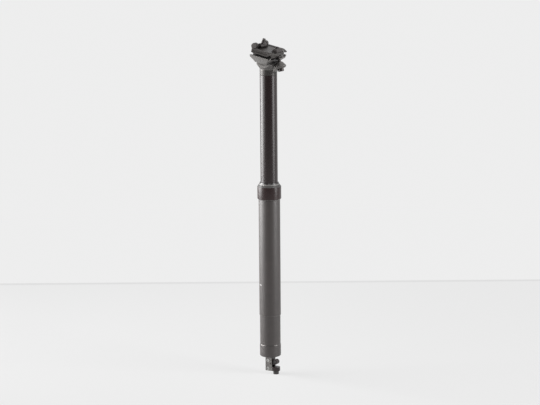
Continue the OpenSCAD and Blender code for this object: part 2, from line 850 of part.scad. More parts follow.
module head() {
    block_low = tube_top_z + neck_plain;
    seat_low = tube_top_z + neck_len;
    wall_top = seat_low + head_wall;
    flare_z = block_low + flare_rise;
    rib_x = rear_seat_x - bolt_r;
    rib_top = rear_seat[1] + lug_lift;
    color("gray")
        difference() {
            union() {
                rod(upper_r, tube_top_z, block_low + over);
                rod(upper_in_r - press_clear, spigot_low_z, tube_top_z + eps);
                intersection() {
                    union() {
                        plate_xz([[-head_reach, block_low], [head_reach, block_low],
                            [head_reach, seat_low - front_low],
                            [head_reach - head_wall - front_low, wall_top], [-head_reach, wall_top]],
                            -head_half, head_half);
                        block([-rib_x, -lug_half, block_low], [0, lug_half, rib_top]);
                    }
                    rotate_extrude()
                        polygon([[0, block_low - eps], [upper_r, block_low - eps],
                            [head_half + flare_reach, flare_z], [far, tilt_z], [0, tilt_z]]);
                }
                front_lug();
                bolt_lug(rear_seat, rear_lean, lug_lift, lug_lift + rear_lug_len,
                    rear_seat_x - cradle_foot / 2);
                in_bolt(rear_seat, rear_lean)
                    block([bolt_r, -lug_half, -bolt_head_len / 2],
                        [rear_seat_x - cradle_foot / 2, lug_half, lug_lift + eps]);
            }
            difference() {
                cross_bar(seat_r, far, 0, tilt_z);
                notch_space();
            }
            bolt_lug_cuts(front_seat, front_lean);
            bolt_lug_cuts(rear_seat, rear_lean);
            rod(upper_in_r - spigot_wall, spigot_low_z - over, tube_top_z + neck_plain);
        }
}

module lower_cradle() {
    side_low = head_half - tilt_clear;
    skirt_side = rail_y + rail_r;
    skirt_top = clamp_half - skirt_edge;
    color("gray")
        in_clamp()
            difference() {
                union() {
                    intersection() {
                        cross_bar(cradle_r, far, 0, 0);
                        plate_xz([[-clamp_len / 2, -cradle_drop], [-clamp_len / 2, -cradle_drop - skirt_edge],
                            [-cradle_foot, -cradle_r], [cradle_foot, -cradle_r],
                            [clamp_len / 2, -cradle_drop - skirt_edge], [clamp_len / 2, -cradle_drop]],
                            -clamp_half, clamp_half);
                        rotate([0, 0, 90])
                            plate_xz([[-skirt_top, -lip_down], [-skirt_side, -cradle_drop - skirt_edge],
                                [-side_low, -cradle_r], [side_low, -cradle_r],
                                [skirt_side, -cradle_drop - skirt_edge], [skirt_top, -lip_down]],
                                -far, far);
                    }
                    for (side = [-1, 1])
                        translate([0, side * rail_y, 0])
                            intersection() {
                                rotate([0, 90, 0])
                                    cylinder(r = rail_out_r, h = clamp_len, center = true);
                                block([-far, -far, -far], [far, far, -lip_down]);
                            }
                }
                for (side = [-1, 1])
                    translate([0, side * rail_y, 0])
                        rotate([0, 90, 0])
                            cylinder(r = rail_r, h = far, center = true);
                block([-far, -lug_half - 2 * tilt_clear, -far],
                    [-notch_u, lug_half + 2 * tilt_clear, far]);
                block([front_nut_u - bolt_r / 2, -bolt_r - bolt_clear, -far],
                    [far, bolt_r + bolt_clear, far]);
            }
}

// Rounded corner of the wing outline in plan
function corner(x, y, r, from) = [for (i = [0 : corner_steps])
    [x + r * cos(from + i * 90 / corner_steps), y + r * sin(from + i * 90 / corner_steps)]];

// Cap over one rail
module wing(side) {
    rear = wing_round - wing_len / 2;
    front = wing_len / 2 - wing_front_round;
    edge = rail_y + wing_r;
    intersection() {
        translate([0, side * rail_y, 0])
            rotate([0, 90, 0])
                cylinder(r = wing_r, h = far, center = true);
        plate_xz([[-wing_len, lip_up + lip_fall], [wing_len, lip_up - lip_fall],
            [wing_len / 2, wing_r - wing_bevel_drop], [wing_len / 2 - wing_bevel_len, wing_r],
            [-wing_len, wing_r]], -far, far);
        translate([0, 0, -wing_r])
            linear_extrude(height = 2 * wing_r)
                scale([1, side])
                    polygon(concat([[-wing_len / 2, 0], [wing_len / 2, 0]],
                        corner(front, edge - wing_front_round, wing_front_round, 0),
                        corner(rear, edge - wing_round, wing_round, 90)));
    }
}

// Round-topped cheeks of the upper clamp beside the rear nut
module nut_housing() {
    low = -rear_nut_w - clamp_drop;
    outline = concat([[-housing_ahead, low], [housing_r + housing_out - housing_taper, low]],
        arch(housing_out, 0, housing_r, 0),
        arch(cheek_round - housing_ahead, housing_r - cheek_round, cheek_round, 90));
    translate([-rear_nut_u, 0, rear_nut_w])
        plate_xz([for (p = outline) [-p[0], p[1]]], -housing_half, housing_half);
}

// Quarter of the round top of a cheek
function arch(x, z, r, from) = [for (i = [0 : arch_steps])
    [x + r * cos(from + i * 90 / arch_steps), z + r * sin(from + i * 90 / arch_steps)]];

// Low front edge of the upper clamp, bowed forward under the front nut
module clamp_nose() {
    base = wing_len / 2;
    tip = base + nose_out;
    top = plate_top + saddle_up;
    side_turn = atan2(nose_out, rail_y - nose_half);
    side_reach = base * cos(side_turn) + rail_y * sin(side_turn);
    intersection() {
        plate_xz([[0, -clamp_drop], [tip - nose_under, -clamp_drop], [tip, top / 2],
            [tip, top - nose_bevel], [tip - nose_bevel, top], [0, top]], -rail_y, rail_y);
        intersection_for(side = [-1, 1])
            rotate([0, 0, side * side_turn])
                plate_xz([[-far, -far], [side_reach, -far], [side_reach, top - nose_bevel],
                    [side_reach - nose_bevel, top], [-far, top]], -far, far);
        translate([0, 0, -far])
            linear_extrude(height = 2 * far)
                polygon([[base - 2 * wing_round, -rail_y], [base, -rail_y], [tip, -nose_half],
                    [tip, nose_half], [base, rail_y], [base - 2 * wing_round, rail_y]]);
    }
}

// Open space for a barrel nut in the upper clamp
module nut_space(u, w, away) {
    room = nut_half + nut_gap;
    cross_bar(trough_r, room, u, w);
    block([min(u - housing_r, away), -room, plate_top + saddle_up],
        [max(u + housing_r, away), room, far]);
}

module upper_clamp() {
    color("gray")
        in_clamp()
            difference() {
                union() {
                    wing(-1);
                    wing(1);
                    block([-wing_len / 2, -rail_y, -clamp_drop],
                        [wing_len / 2 - wing_round, rail_y, plate_top]);
                    clamp_nose();
                    nut_housing();
                }
                for (side = [-1, 1])
                    translate([0, side * rail_y, 0]) {
                        rotate([0, 90, 0])
                            cylinder(r = rail_r, h = far, center = true);
                        rotate([side * groove_at, 0, 0])
                            translate([0, side * wing_r, 0])
                                rotate([0, 90, 0])
                                    cylinder(d = groove_d, h = far, center = true);
                    }
                nut_space(front_nut_u, front_nut_w, far);
                nut_space(-rear_nut_u, rear_nut_w, -far);
                bolt_slot(front_nut_u, front_nut_w, front_lean - rake);
                bolt_slot(-rear_nut_u, rear_nut_w, rear_lean - rake);
            }
}

// Opening that clears a bolt through the whole tilt of the clamp
module bolt_slot(u, w, lean) {
    half = bolt_r + slot_clear;
    deep = w + 2 * nut_r;
    wide = half + deep * tan(tilt);
    translate([u, 0, w])
        rotate([0, lean, 0])
            plate_xz([[-half, 0], [-wide, -deep], [wide, -deep], [half, 0]], -half, half);
}

module barrel_nut(u, w, seat, lean) {
    color("silver")
        difference() {
            in_clamp()
                cross_bar(nut_r, nut_half, u, w);
            in_bolt(seat, lean)
                cylinder(r = bolt_r + thread_clear, h = far);
        }
}

module front_barrel_nut() {
    barrel_nut(front_nut_u, front_nut_w, front_seat, front_lean);
}

module rear_barrel_nut() {
    barrel_nut(-rear_nut_u, rear_nut_w, rear_seat, rear_lean);
}

module clamp_bolt(seat, lean, len) {
    color("silver")
        in_bolt(seat, lean)
            difference() {
                union() {
                    cylinder(r = bolt_r, h = len);
                    translate([0, 0, -bolt_head_len])
                        cylinder(d = bolt_head_d, h = bolt_head_len);
                }
                translate([0, 0, -bolt_head_len - over])
                    cylinder(d = socket_af / cos(30), h = socket_depth + over, $fn = 6);
            }
}

module front_bolt() {
    clamp_bolt(front_seat, front_lean, front_reach + front_tip);
}

module rear_bolt() {
    clamp_bolt(rear_seat, rear_lean, rear_reach + rear_tip);
}

module half_washer(seat, lean) {
    color("silver")
        in_bolt(seat, lean)
            difference() {
                intersection() {
                    rotate([90, 0, 0])
                        cylinder(r = washer_r, h = 2 * washer_half, center = true);
                    block([-far, -far, 0], [far, far, far]);
                }
                translate([0, 0, -over])
                    cylinder(r = bolt_r + press_clear, h = far);
            }
}

module front_washer() {
    half_washer(front_seat, front_lean);
}

module rear_washer() {
    half_washer(rear_seat, rear_lean);
}

lower_tube();
seal_collar();
wiper_seal();
collar_o_ring();
upper_bushing();
bottom_cap();
rod_nut();
piston_rod();
piston();
piston_seal();
actuator_bracket();
side_plate();
plate_screws();
lever_pin();
cable_stop();
upper_tube();
head();
lower_bushing();
guide_keys();
top_out_ring();
cartridge_cylinder();
cartridge_retainer();
rod_gland();
rod_seal();
cartridge_plug();
floating_piston();
floating_seal();
release_pin();
valve_poppet();
release_lever();
lower_cradle();
upper_clamp();
front_barrel_nut();
rear_barrel_nut();
front_bolt();
rear_bolt();
front_washer();
rear_washer();
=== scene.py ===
# Dropper seatpost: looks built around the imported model. Metres, same frame as the solids.
import json
import math

import bmesh
import bpy
from mathutils import Matrix, Vector


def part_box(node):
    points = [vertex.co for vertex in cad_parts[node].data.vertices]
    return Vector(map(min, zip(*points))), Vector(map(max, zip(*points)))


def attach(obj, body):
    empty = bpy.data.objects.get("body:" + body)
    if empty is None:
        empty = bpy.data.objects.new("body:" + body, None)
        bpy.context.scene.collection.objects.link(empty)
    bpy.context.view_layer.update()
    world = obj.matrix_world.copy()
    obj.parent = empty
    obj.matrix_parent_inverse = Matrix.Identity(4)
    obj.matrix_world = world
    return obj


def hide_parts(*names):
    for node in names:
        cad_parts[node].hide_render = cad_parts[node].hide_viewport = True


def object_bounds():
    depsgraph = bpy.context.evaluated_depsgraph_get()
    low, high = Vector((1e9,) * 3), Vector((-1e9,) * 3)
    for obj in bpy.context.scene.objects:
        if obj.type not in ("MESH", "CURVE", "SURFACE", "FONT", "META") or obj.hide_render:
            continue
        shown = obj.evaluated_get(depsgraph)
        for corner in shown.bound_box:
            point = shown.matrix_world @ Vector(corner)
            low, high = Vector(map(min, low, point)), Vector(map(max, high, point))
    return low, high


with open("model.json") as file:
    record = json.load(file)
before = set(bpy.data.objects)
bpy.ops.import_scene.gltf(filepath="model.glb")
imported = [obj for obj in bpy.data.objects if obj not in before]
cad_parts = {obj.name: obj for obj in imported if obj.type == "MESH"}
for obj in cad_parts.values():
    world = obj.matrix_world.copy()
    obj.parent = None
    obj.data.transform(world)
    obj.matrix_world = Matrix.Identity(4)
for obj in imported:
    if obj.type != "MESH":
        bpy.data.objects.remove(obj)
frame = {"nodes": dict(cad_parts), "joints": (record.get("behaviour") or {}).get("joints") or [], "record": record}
CAD_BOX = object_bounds()
NODES = frame["nodes"]
JOINTS = {joint["name"]: joint for joint in frame["joints"]}
SUBPARTS = {part["node"]: part["material_slot"] for part in frame["record"]["subparts"]}
NODE_BODY = {node: body for body, nodes in frame["record"]["behaviour"]["bodies"].items() for node in nodes}
MM = 0.001
FULL_TURN = 2 * math.pi

# Image and camera
IMAGE_W = 540
SENSOR = 36.0
CLIP_END = 50.0
FOCAL_PX = 2706.75
CAM_AZIMUTH = math.radians(30.0)
CAM_DISTANCE = 3.9
CAM_HEIGHT = 0.75432
CAM_PITCH = 0.19246
CAM_ROLL = -0.00748
CAM_PAN = -0.00024

# Level directions for the stage and the room: away from the camera, and to its right
HEADING = Vector((-math.sin(CAM_AZIMUTH), math.cos(CAM_AZIMUTH), 0.0))
ACROSS = Vector((math.cos(CAM_AZIMUTH), math.sin(CAM_AZIMUTH), 0.0))


def station(angle, distance, height):
    """Point around the part. The angle in degrees is measured from the camera, positive to its right."""
    turn = CAM_AZIMUTH + math.radians(angle)
    return Vector((math.sin(turn) * distance, -math.cos(turn) * distance, height))


def add_object(name, data):
    obj = bpy.data.objects.new(name, data)
    bpy.context.scene.collection.objects.link(obj)
    return obj


def make_camera():
    data = bpy.data.cameras.new("camera")
    data.sensor_width = SENSOR
    data.lens = FOCAL_PX / IMAGE_W * SENSOR
    data.clip_end = CLIP_END
    obj = add_object("camera", data)
    heading = CAM_AZIMUTH + CAM_PAN
    forward = Vector((-math.sin(heading) * math.cos(CAM_PITCH),
                      math.cos(heading) * math.cos(CAM_PITCH),
                      -math.sin(CAM_PITCH)))
    level = Vector((math.cos(heading), math.sin(heading), 0.0))
    upright = level.cross(forward)
    right = math.cos(CAM_ROLL) * level + math.sin(CAM_ROLL) * upright
    up = math.cos(CAM_ROLL) * upright - math.sin(CAM_ROLL) * level
    turn = Matrix((right, up, -forward)).transposed().to_4x4()
    obj.matrix_world = Matrix.Translation(station(0.0, CAM_DISTANCE, CAM_HEIGHT)) @ turn
    bpy.context.scene.camera = obj


# Shader nodes
def grey(value):
    return (value, value, value)


def rgba(colour):
    return (*colour, 1.0)


def either_side(colour, share):
    """The colour made darker and lighter by a share of itself."""
    return [tuple(channel * factor for channel in colour) for factor in (1.0 - share, 1.0 + share)]


WHITE = rgba(grey(1.0))


class Graph:
    """Shader nodes of one material, or of the world."""

    def __init__(self, name, world=False):
        self.material = bpy.data.worlds.new(name) if world else bpy.data.materials.new(name)
        self.material.use_nodes = True
        self.tree = self.material.node_tree
        self.tree.nodes.clear()
        self.out = self.add("ShaderNodeOutputWorld" if world else "ShaderNodeOutputMaterial")

    def add(self, kind, **values):
        """New node. Each value is for a property of the node, or else for the input of that name."""
        node = self.tree.nodes.new(kind)
        for key, value in values.items():
            if hasattr(node, key):
                setattr(node, key, value)
            else:
                self.feed(node.inputs[key.replace("_", " ")], value)
        return node

    def feed(self, socket, value):
        """Links an output to the input, or sets the input's own value."""
        if isinstance(value, bpy.types.NodeSocket):
            self.tree.links.new(value, socket)
        else:
            socket.default_value = value

    def show(self, surface):
        self.feed(self.out.inputs["Surface"], surface)

    def number(self, kind, operation, *values):
        """One number worked out from outputs, numbers or vectors."""
        node = self.add(kind, operation=operation)
        for socket, value in zip(node.inputs, values):
            self.feed(socket, value)
        return node.outputs["Value"]

    def ranged(self, source, start, end):
        """Even change from start to end, each a pair of what goes in and what comes out."""
        node = self.add("ShaderNodeMapRange", Value=source, From_Min=start[0], From_Max=end[0],
                        To_Min=start[1], To_Max=end[1])
        return node.outputs["Result"]

    def ramp(self, source, stops, colours):
        """Colours between two stops."""
        node = self.add("ShaderNodeValToRGB", Fac=source)
        for element, position, colour in zip(node.color_ramp.elements, stops, colours):
            element.position = position
            element.color = rgba(colour)
        return node.outputs["Color"]

    def mixed(self, share, first, second):
        node = self.add("ShaderNodeMix", data_type="RGBA", Factor=share, A=first, B=second)
        return node.outputs["Result"]


def mirrored_rays(graph, path):
    """1 for rays that come off a shiny surface or through a clear one."""
    return graph.number("ShaderNodeMath", "ADD", path.outputs["Is Glossy Ray"],
                        path.outputs["Is Transmission Ray"])


# Materials: what the finishes share, lengths in metres
TONE_STOPS = (0.3, 0.7)
ROUGH_STOPS = (0.25, 0.75)
FINE_DETAIL = 3.0
FINE_BREAKUP = 0.6
SLOW_SCALE = 90.0
SLOW_DETAIL = 4.0
SLOW_BREAKUP = 0.55
GRAIN_DEPTH = 0.00006
WORN_SAMPLES = 4
WORN_R = 0.0003
WORN_START = 0.985
WORN_FULL = 0.85
WORN_TONE = (0.45, 0.44, 0.43)
RECESS_SAMPLES = 16
RECESS_DEEP = 0.3
RECESS_OPEN = 0.9
PAINTED_SHADE_TONE = (0.006, 0.005, 0.005)
MOTTLE_DETAIL = 4.0
MOTTLE_TONE = 0.2
MOTTLE_ROUGH = 0.08
MOTTLE_DEPTH = 0.00008
DULL_SPECULAR = 0.4


def metal(name, colour, metallic, rough, grain, bump, stretch=(1.0, 1.0, 1.0), wear=0.0, specular=0.5,
          spread=0.12, rough_spread=0.12, recess_shade=0.0, reach=0.01):
    """Coated or bare metal: fine grain, slow change of tone, lighter worn edges, painted shade in recesses."""
    graph = Graph(name)
    place = graph.add("ShaderNodeTexCoord").outputs["Object"]
    drawn = graph.add("ShaderNodeMapping", Vector=place, Scale=stretch).outputs["Vector"]
    fine = graph.add("ShaderNodeTexNoise", Vector=drawn, Scale=grain, Detail=FINE_DETAIL,
                     Roughness=FINE_BREAKUP).outputs["Fac"]
    slow = graph.add("ShaderNodeTexNoise", Vector=place, Scale=SLOW_SCALE, Detail=SLOW_DETAIL,
                     Roughness=SLOW_BREAKUP).outputs["Fac"]
    tone = graph.ramp(slow, TONE_STOPS, either_side(colour, spread))
    if wear > 0.0:
        rounded = graph.add("ShaderNodeBevel", samples=WORN_SAMPLES, Radius=WORN_R).outputs["Normal"]
        normal = graph.add("ShaderNodeNewGeometry").outputs["Normal"]
        flatness = graph.number("ShaderNodeVectorMath", "DOT_PRODUCT", rounded, normal)
        worn = graph.ranged(flatness, (WORN_START, 0.0), (WORN_FULL, wear))
        tone = graph.mixed(worn, tone, rgba(WORN_TONE))
    # Painted shade: recesses darken towards near black by ambient occlusion
    if recess_shade > 0.0:
        openness = graph.add("ShaderNodeAmbientOcclusion", samples=RECESS_SAMPLES,
                             Distance=reach).outputs["AO"]
        painted_shade = graph.ranged(openness, (RECESS_DEEP, recess_shade), (RECESS_OPEN, 0.0))
        tone = graph.mixed(painted_shade, tone, rgba(PAINTED_SHADE_TONE))
    half = rough_spread / 2
    level = graph.ramp(fine, ROUGH_STOPS, (grey(rough - half), grey(rough + half)))
    relief = graph.add("ShaderNodeBump", Height=fine, Strength=bump, Distance=GRAIN_DEPTH).outputs["Normal"]
    shader = graph.add("ShaderNodeBsdfPrincipled", Base_Color=tone, Metallic=metallic, Roughness=level,
                       Specular_IOR_Level=specular, Normal=relief)
    graph.show(shader.outputs["BSDF"])
    return graph.material


def plain(name, colour, rough, grain, bump):
    """Rubber, polymer or print: dull, finely mottled."""
    graph = Graph(name)
    place = graph.add("ShaderNodeTexCoord").outputs["Object"]
    noise = graph.add("ShaderNodeTexNoise", Vector=place, Scale=grain, Detail=MOTTLE_DETAIL).outputs["Fac"]
    tone = graph.ramp(noise, TONE_STOPS, either_side(colour, MOTTLE_TONE))
    level = graph.ramp(noise, TONE_STOPS, (grey(rough - MOTTLE_ROUGH), grey(rough + MOTTLE_ROUGH)))
    relief = graph.add("ShaderNodeBump", Height=noise, Strength=bump, Distance=MOTTLE_DEPTH).outputs["Normal"]
    shader = graph.add("ShaderNodeBsdfPrincipled", Base_Color=tone, Roughness=level,
                       Specular_IOR_Level=DULL_SPECULAR, Normal=relief)
    graph.show(shader.outputs["BSDF"])
    return graph.material


# Finishes of the record's material slots; the ambient-occlusion share darkens recesses as painted shade
SLOT_MATERIALS = {
    "black_anodised": metal("black_anodised", (0.046, 0.0375, 0.0355), metallic=0.0, rough=0.45, grain=2600.0,
                            bump=0.25, wear=0.2, specular=0.85),
    "hard_black": metal("hard_black", (0.0195, 0.011, 0.0115), metallic=0.0, rough=0.27, grain=1800.0,
                        bump=0.004, stretch=(1.0, 1.0, 0.15), rough_spread=0.01),
    "grey_alloy": metal("grey_alloy", (0.135, 0.128, 0.1225), metallic=0.4, rough=0.32, grain=1500.0,
                        bump=0.12, wear=0.3, spread=0.18, recess_shade=0.95),
    "bare_alloy": metal("bare_alloy", (0.62, 0.62, 0.63), metallic=1.0, rough=0.3, grain=900.0,
                        bump=0.2, stretch=(1.0, 1.0, 8.0)),
    "plated_steel": metal("plated_steel", (0.42, 0.42, 0.41), metallic=1.0, rough=0.36, grain=1200.0,
                          bump=0.1, wear=0.1),
    "dark_steel": metal("dark_steel", (0.075, 0.066, 0.064), metallic=0.6, rough=0.36, grain=1600.0,
                        bump=0.3, wear=0.3, recess_shade=0.8, reach=0.003),
    "seal_rubber": plain("seal_rubber", (0.016, 0.013, 0.013), rough=0.2, grain=1500.0, bump=0.04),
    "bushing_polymer": plain("bushing_polymer", (0.72, 0.69, 0.6), rough=0.5, grain=900.0, bump=0.1),
    "key_brass": metal("key_brass", (0.72, 0.52, 0.22), metallic=1.0, rough=0.3, grain=1100.0, bump=0.15),
}

# Finishes of single pieces, or of bands on them
COLLAR_FINISH = metal("collar_anodised", (0.02, 0.006, 0.006), metallic=0.0, rough=0.27, grain=2200.0,
                      bump=0.015, wear=0.25, rough_spread=0.02)
# Painted highlight: light grey for thin bands where edges catch the light
HIGHLIGHT_FINISH = metal("painted_highlight_band", (0.2, 0.185, 0.18), metallic=0.2, rough=0.4, grain=2200.0,
                    bump=0.1, wear=0.1)
# Painted sheen: a greyer, rougher band where the collar's shoulder faces up into the light
SHOULDER_SHEEN_FINISH = metal("shoulder_painted_sheen", (0.05, 0.046, 0.044), metallic=0.0, rough=0.4, grain=2200.0,
                        bump=0.1, specular=0.6)
# The ambient-occlusion share on the clamp and the cradle is painted shade in their recesses
CLAMP_FINISH = metal("clamp_alloy", (0.07, 0.064, 0.061), metallic=0.3, rough=0.36, grain=1500.0,
                     bump=0.22, wear=0.1, specular=0.2, spread=0.18, recess_shade=0.95)
# Painted light: a lighter copy of the head's alloy, for the cradle's side panel lit from the left
CRADLE_LIT_FINISH = metal("cradle_painted_light", (0.23, 0.219, 0.21), metallic=0.4, rough=0.32, grain=1500.0,
                      bump=0.22, wear=0.12, spread=0.16, recess_shade=0.95)
CASE_FINISH = metal("seal_case", (0.29, 0.28, 0.272), metallic=0.1, rough=0.45, grain=2200.0, bump=0.05)
LIP_FINISH = metal("seal_lip", (0.03, 0.025, 0.024), metallic=0.0, rough=0.2, grain=1500.0,
                   bump=0.01, specular=0.7, rough_spread=0.02)
PLATE_FINISH = metal("plate_anodised", (0.2, 0.19, 0.182), metallic=0.3, rough=0.4, grain=1800.0,
                     bump=0.3, wear=0.3, spread=0.16)
# Painted highlight: lighter tone on the cap's lip, where its edge shines in the side lights
RIM_HIGHLIGHT_FINISH = metal("rim_painted_highlight", (0.11, 0.102, 0.098), metallic=0.5, rough=0.26, grain=2200.0,
                   bump=0.05, wear=0.1)
NECK_FINISH = metal("neck_alloy", (0.066, 0.0615, 0.059), metallic=0.4, rough=0.32, grain=1500.0,
                    bump=0.08, specular=0.25)
MARK_FINISH = plain("mark_print", (0.72, 0.71, 0.7), rough=0.5, grain=1500.0, bump=0.05)


def dress(obj, material):
    obj.data.materials.clear()
    obj.data.materials.append(material)


def dress_faces(obj, material, chosen):
    """Gives the faces whose centre is chosen a finish of their own."""
    obj.data.materials.append(material)
    index = len(obj.data.materials) - 1
    for face in obj.data.polygons:
        if chosen(face.center):
            face.material_index = index


def dress_band(obj, material, radii, heights):
    """Gives the faces between two radii and two heights, in millimetres, a finish of their own."""

    def chosen(centre):
        radius = math.hypot(centre.x, centre.y) / MM
        return radii[0] <= radius <= radii[1] and heights[0] <= centre.z / MM <= heights[1]

    dress_faces(obj, material, chosen)


for node_name, node_obj in NODES.items():
    dress(node_obj, SLOT_MATERIALS[SUBPARTS[node_name]])

# Mesh helpers
WELD = 2e-6
RELAX_FACTOR = 0.5
TINY = 1e-6
EDGE_R = 0.12
EDGE_STEPS = 5
EDGE_SHARE = 0.45
LATHE_STEPS = 160
SHARP_ANGLE = 30.0


def stand_for(obj, *nodes):
    """The piece takes the place of these nodes, on their body and with their finish."""
    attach(obj, NODE_BODY[nodes[0]])
    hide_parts(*nodes)
    slot = SUBPARTS[nodes[0]]
    dress(obj, SLOT_MATERIALS[slot])
    return obj


def relaxed(obj, passes, group=""):
    """Smooths the mesh, all over or by the weights of a vertex group."""
    relax = obj.modifiers.new("relax", "SMOOTH")
    relax.factor = RELAX_FACTOR
    relax.iterations = passes
    relax.vertex_group = group
    depsgraph = bpy.context.evaluated_depsgraph_get()
    mesh = bpy.data.meshes.new_from_object(obj.evaluated_get(depsgraph))
    obj.modifiers.clear()
    obj.data = mesh
    obj.data.shade_smooth()


def softened(node, name, voxel, passes):
    """Copy of a node with its edges rounded as on a forged or tumbled piece."""
    mesh = NODES[node].data.copy()
    obj = add_object(name, mesh)
    work = bmesh.new()
    work.from_mesh(mesh)
    bmesh.ops.remove_doubles(work, verts=work.verts, dist=WELD)
    work.to_mesh(mesh)
    work.free()
    remesh = obj.modifiers.new("even", "REMESH")
    remesh.mode = "VOXEL"
    remesh.voxel_size = voxel * MM
    relaxed(obj, passes)
    return stand_for(obj, node)


def melted(obj, passes, share):
    """Flows the surface into fillets where share(point in millimetres) is above 0."""
    group = obj.vertex_groups.new(name="flow")
    for vertex in obj.data.vertices:
        weight = share(vertex.co / MM)
        if weight > 0.0:
            group.add([vertex.index], weight, "REPLACE")
    relaxed(obj, passes, group.name)
    obj.vertex_groups.clear()


def between(value, low, high):
    """0 at low and 1 at high, without leaving that range."""
    return min(1.0, max(0.0, (value - low) / (high - low)))


def on_circle(radius, turn, z):
    return Vector((radius * math.cos(turn), radius * math.sin(turn), z))


def ring(radius, z, count):
    return [on_circle(radius, FULL_TURN * i / count, z) for i in range(count)]


def vertices(work, points):
    """New vertices at points given in millimetres."""
    return [work.verts.new(point * MM) for point in points]


def skin(work, rows):
    """Faces between each closed row of vertices and the next."""
    count = len(rows[0])
    for lower, upper in zip(rows, rows[1:]):
        for i in range(count):
            j = (i + 1) % count
            work.faces.new((lower[i], lower[j], upper[j], upper[i]))


def finished(name, work, angle=SHARP_ANGLE):
    """Object made of the faces so far, smooth up to this angle in degrees."""
    bmesh.ops.recalc_face_normals(work, faces=work.faces)
    mesh = bpy.data.meshes.new(name)
    work.to_mesh(mesh)
    work.free()
    mesh.shade_smooth()
    mesh.set_sharp_from_angle(angle=math.radians(angle))
    return add_object(name, mesh)


def closed_skin(name, rings):
    """Closed skin over rings of equal length; the first and last ring are filled."""
    work = bmesh.new()
    rows = [vertices(work, points) for points in rings]
    skin(work, rows)
    work.faces.new(list(reversed(rows[0])))
    work.faces.new(rows[-1])
    return finished(name, work)


def filleted(profile):
    """Closed outline in (r, z) with every corner rounded; a corner may carry its own radius."""
    outline = []
    count = len(profile)
    for i in range(count):
        before = Vector(profile[i - 1][:2])
        here = Vector(profile[i][:2])
        after = Vector(profile[(i + 1) % count][:2])
        size = profile[i][2] if len(profile[i]) > 2 else EDGE_R
        into = before - here
        away = after - here
        if size <= 0.0 or into.length < TINY or away.length < TINY:
            outline.append(here)
            continue
        half = into.angle(away) / 2
        reach = min(size / math.tan(half), into.length * EDGE_SHARE, away.length * EDGE_SHARE)
        start = here + into.normalized() * reach
        end = here + away.normalized() * reach
        for k in range(EDGE_STEPS + 1):
            t = k / EDGE_STEPS
            outline.append(start * (1 - t) ** 2 + here * 2 * t * (1 - t) + end * t ** 2)
    return outline


def lathe(name, profile):
    """Turned piece about Z from a closed outline in millimetres."""
    outline = filleted(profile)
    work = bmesh.new()
    rows = []
    for i in range(LATHE_STEPS):
        turn = FULL_TURN * i / LATHE_STEPS
        rows.append(vertices(work, [on_circle(r, turn, z) for r, z in outline]))
    skin(work, rows + rows[:1])
    return finished(name, work)


def radius_of(node):
    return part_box(node)[1][0] / MM


def low_of(node):
    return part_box(node)[0][2] / MM


def high_of(node):
    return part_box(node)[1][2] / MM


# Turned pieces: radii, heights and corner radii in millimetres, heights from the underside of the collar
SHARP = 0.0
FIT = 0.02
MARGIN = 0.1
BORE_R = 13.9
NECK_R = 15.1
ROD_R = 4.02
COLLAR_LOW = 0.0
POST_R = radius_of("lower_tube")
TUBE_LOW = low_of("lower_tube")
TUBE_HIGH = high_of("lower_tube")
COLLAR_R = radius_of("seal_collar")
COLLAR_TOP = high_of("seal_collar")
WIPER_R = radius_of("wiper_seal")
WIPER_LOW = low_of("wiper_seal")
WIPER_TOP = high_of("wiper_seal")
CAP_R = radius_of("bottom_cap")
CAP_LOW = low_of("bottom_cap")
CAP_HIGH = high_of("bottom_cap")
UPPER_R = radius_of("upper_tube")
UPPER_LOW = low_of("upper_tube")
UPPER_HIGH = high_of("upper_tube")

# Lower tube, with a painted highlight line where its relief starts
RELIEF_R = POST_R - 0.65
RELIEF_Z = TUBE_LOW + 45.0
RELIEF_RISE = 0.6
RELIEF_EDGE = 0.25
RELIEF_HIGHLIGHT_Z = (RELIEF_Z - 0.8, RELIEF_Z + 0.3)
TUBE_FOOT_EDGE = 0.3
TUBE_NECK_EDGE = 0.4
tube = stand_for(lathe("outer_tube", [
    (BORE_R, TUBE_LOW),
    (RELIEF_R, TUBE_LOW, TUBE_FOOT_EDGE),
    (RELIEF_R, RELIEF_Z - RELIEF_RISE),
    (POST_R, RELIEF_Z, RELIEF_EDGE),
    (POST_R, COLLAR_LOW),
    (NECK_R, COLLAR_LOW),
    (NECK_R, TUBE_HIGH, TUBE_NECK_EDGE),
    (BORE_R, TUBE_HIGH)]), "lower_tube")
# Painted highlight along the relief step
dress_band(tube, HIGHLIGHT_FINISH, (RELIEF_R - MARGIN, POST_R + MARGIN), RELIEF_HIGHLIGHT_Z)

